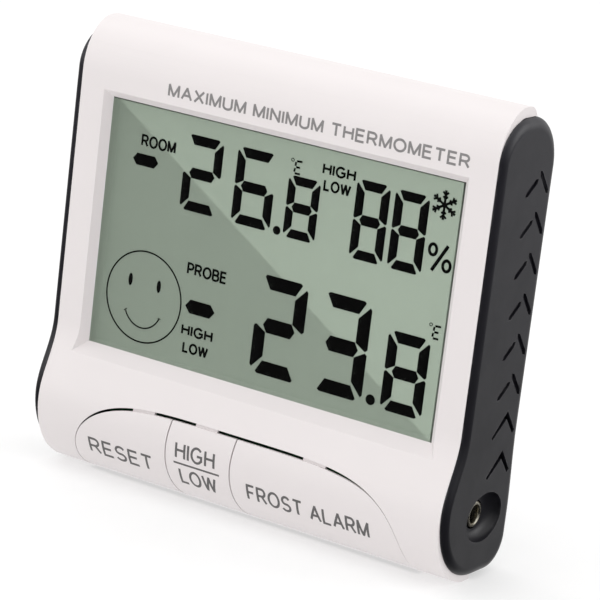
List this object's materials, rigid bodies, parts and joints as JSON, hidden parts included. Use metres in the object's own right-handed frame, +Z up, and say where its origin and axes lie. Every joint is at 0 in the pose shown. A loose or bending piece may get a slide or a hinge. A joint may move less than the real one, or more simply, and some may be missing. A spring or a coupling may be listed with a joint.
{
  "type": "maximum minimum thermometer",
  "caption": "Desk or wall indoor and outdoor thermometer with maximum and minimum memory: large display window, keys, probe jack, fold-out stand and hanging keyhole.",
  "frame": {"origin": "middle of the bounding box at its base, where the base and the two rear feet stand", "axes": "+X to the right as seen from the front, +Y from the display towards the back, +Z up"},
  "size_m": [0.098, 0.0261, 0.0931],
  "materials": {
    "warm_white_plastic": "satin",
    "charcoal_plastic": "matte",
    "clear_lens": "gloss",
    "lcd_glass": "gloss",
    "natural_plastic": "satin",
    "grey_rubber": "matte",
    "board_green": "satin",
    "black_epoxy": "gloss",
    "plated_steel": "satin",
    "brass": "satin",
    "cell_label": "gloss",
    "capacitor_sleeve": "satin",
    "wire_red": "satin",
    "wire_black": "satin"
  },
  "bodies": {
    "housing": {"battery_aaa": "cell_label", "battery_contact_minus": "plated_steel", "battery_contact_plus": "plated_steel", "battery_spring": "plated_steel", "beeper_disc": "brass", "board_screw_1": "plated_steel", "board_screw_2": "plated_steel", "capacitor": "capacitor_sleeve", "case_screw_1": "plated_steel", "case_screw_2": "plated_steel", "case_screw_3": "plated_steel", "case_screw_4": "plated_steel", "chip_blob": "black_epoxy", "circuit_board": "board_green", "crystal": "plated_steel", "front_shell": "warm_white_plastic", "holder_screw_1": "plated_steel", "holder_screw_2": "plated_steel", "humidity_sensor": "charcoal_plastic", "jack_ring": "plated_steel", "lcd_holder": "natural_plastic", "lcd_lens": "clear_lens", "lcd_panel": "lcd_glass", "probe_jack": "charcoal_plastic", "rear_shell": "charcoal_plastic", "thermistor": "black_epoxy", "unit_switch": "charcoal_plastic", "wire_battery_minus": "wire_black", "wire_battery_plus": "wire_red", "wire_beeper_1": "wire_red", "wire_beeper_2": "wire_black", "zebra_strip": "grey_rubber"},
    "key_clear": {"key_clear": "warm_white_plastic", "contact_pill_clear": "grey_rubber"},
    "key_max_min": {"key_max_min": "warm_white_plastic", "contact_pill_max_min": "grey_rubber"},
    "key_alarm": {"key_alarm": "warm_white_plastic", "contact_pill_alarm": "grey_rubber"},
    "unit_button": {"unit_button": "charcoal_plastic"},
    "battery_door": {"battery_door": "charcoal_plastic"},
    "stand": {"stand": "charcoal_plastic"}
  },
  "joints": [
    {"name": "key_clear_press", "type": "hinge", "parent": "housing", "child": "key_clear", "pos_m": [-0.0221, -0.0107, 0.0205], "axis": [1, 0, 0], "range_deg": [0, 3], "stiffness_Nm_per_rad": 0.4},
    {"name": "key_max_min_press", "type": "hinge", "parent": "housing", "child": "key_max_min", "pos_m": [-0.0069, -0.0107, 0.0205], "axis": [1, 0, 0], "range_deg": [0, 3], "stiffness_Nm_per_rad": 0.4},
    {"name": "key_alarm_press", "type": "hinge", "parent": "housing", "child": "key_alarm", "pos_m": [0.0185, -0.0107, 0.0205], "axis": [1, 0, 0], "range_deg": [0, 3], "stiffness_Nm_per_rad": 0.4},
    {"name": "unit_button_press", "type": "slide", "parent": "housing", "child": "unit_button", "axis": [0, -1, 0], "range_m": [0, 0.0008], "stiffness_N_per_m": 500},
    {"name": "battery_door_hinge", "type": "hinge", "parent": "housing", "child": "battery_door", "pos_m": [-0.027, 0.012, 0.0545], "axis": [0, 0, 1], "range_deg": [0, 90]},
    {"name": "stand_hinge", "type": "hinge", "parent": "housing", "child": "stand", "pos_m": [0, 0.0106, 0.0425], "axis": [1, 0, 0], "range_deg": [0, 45]}
  ]
}
